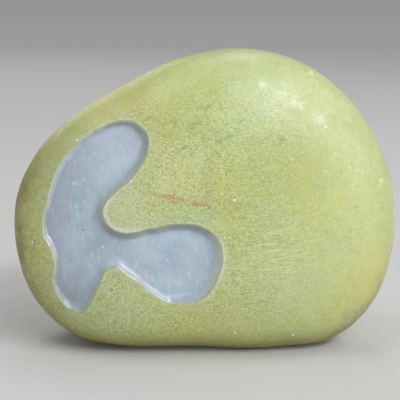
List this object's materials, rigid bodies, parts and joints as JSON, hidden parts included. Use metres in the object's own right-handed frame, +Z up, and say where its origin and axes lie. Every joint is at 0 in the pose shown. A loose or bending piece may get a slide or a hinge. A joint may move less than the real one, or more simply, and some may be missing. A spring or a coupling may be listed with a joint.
{
  "type": "raw jadeite boulder",
  "caption": "River-worn jadeite boulder standing on its long edge, with a shallow polished window ground into its front face.",
  "frame": {"origin": "on the resting face, below the middle of the boulder's bounding box", "axes": "+Z up, +X along the boulder's length, and the polished window faces -Y"},
  "size_m": [0.1981, 0.0937, 0.1526],
  "materials": {
    "jadeite": "satin"
  },
  "bodies": {
    "root": {"jadeite_boulder": "jadeite"}
  },
  "joints": []
}
